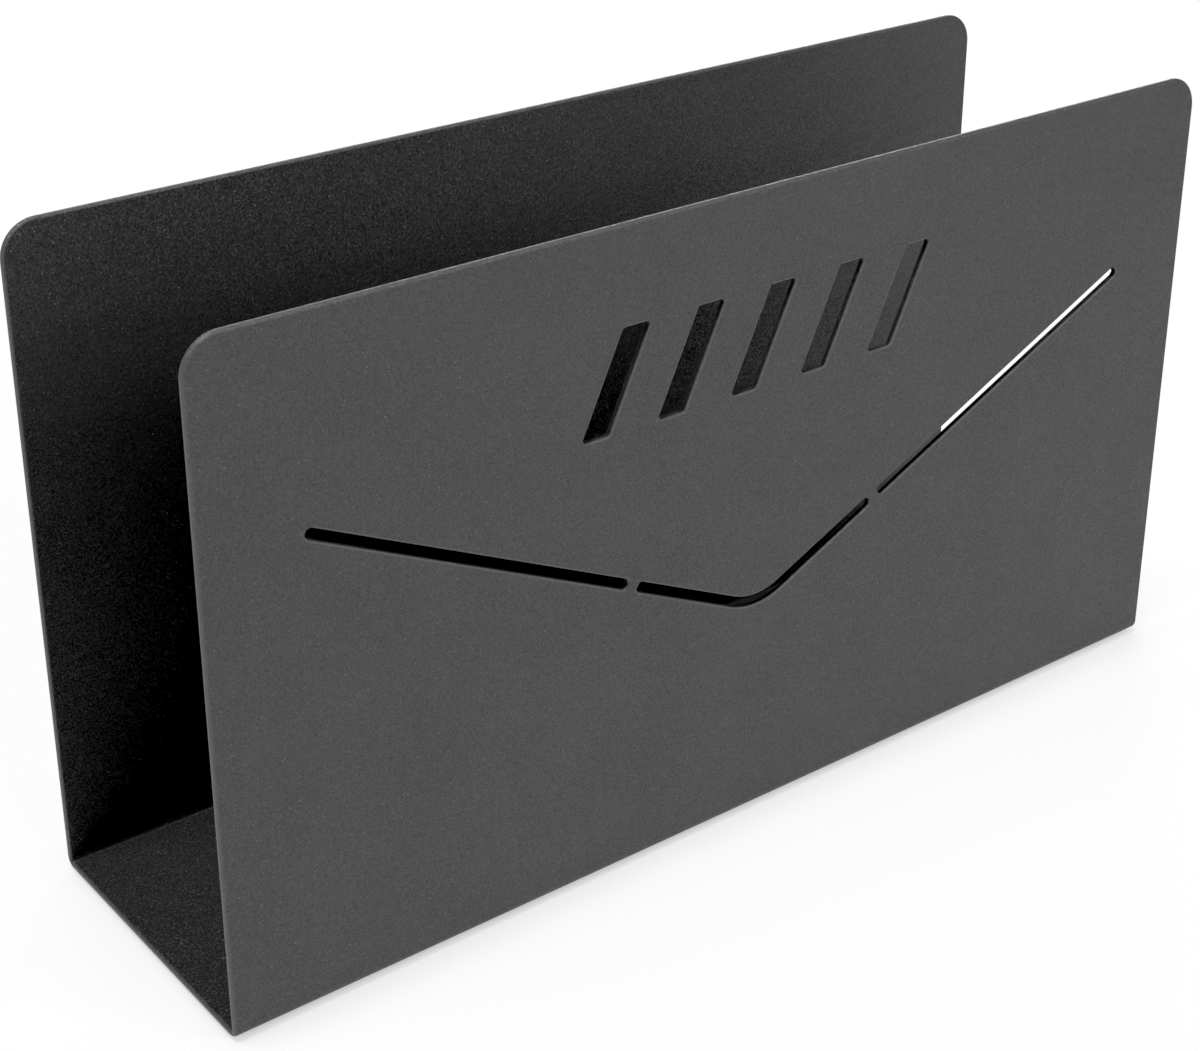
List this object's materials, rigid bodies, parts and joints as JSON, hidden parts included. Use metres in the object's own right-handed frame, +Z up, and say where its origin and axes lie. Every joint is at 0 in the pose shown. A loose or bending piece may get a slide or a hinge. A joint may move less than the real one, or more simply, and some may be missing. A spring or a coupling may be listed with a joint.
{
  "type": "letter holder",
  "caption": "Upright U of bent powder-coated steel sheet that stands letters on edge, with an envelope flap and slanted bars cut through its front wall, on thin anti-slip pads.",
  "frame": {"origin": "centre of the footprint, on the surface that the pads stand on", "axes": "+X along the letters, to the right as seen from the front; +Y from the front wall to the back wall; +Z up"},
  "size_m": [0.25, 0.07, 0.1406],
  "materials": {
    "powder_coated_steel": "matte black powder coat with a fine sand texture",
    "pad_rubber": "matte black rubber film",
    "adhesive_film": "milky acrylic adhesive"
  },
  "bodies": {
    "root": {"bent_sheet": "powder_coated_steel", "foot_pad_front_left": "pad_rubber", "foot_pad_front_right": "pad_rubber", "foot_pad_rear_left": "pad_rubber", "foot_pad_rear_right": "pad_rubber", "pad_adhesive_front_left": "adhesive_film", "pad_adhesive_front_right": "adhesive_film", "pad_adhesive_rear_left": "adhesive_film", "pad_adhesive_rear_right": "adhesive_film"}
  },
  "joints": []
}
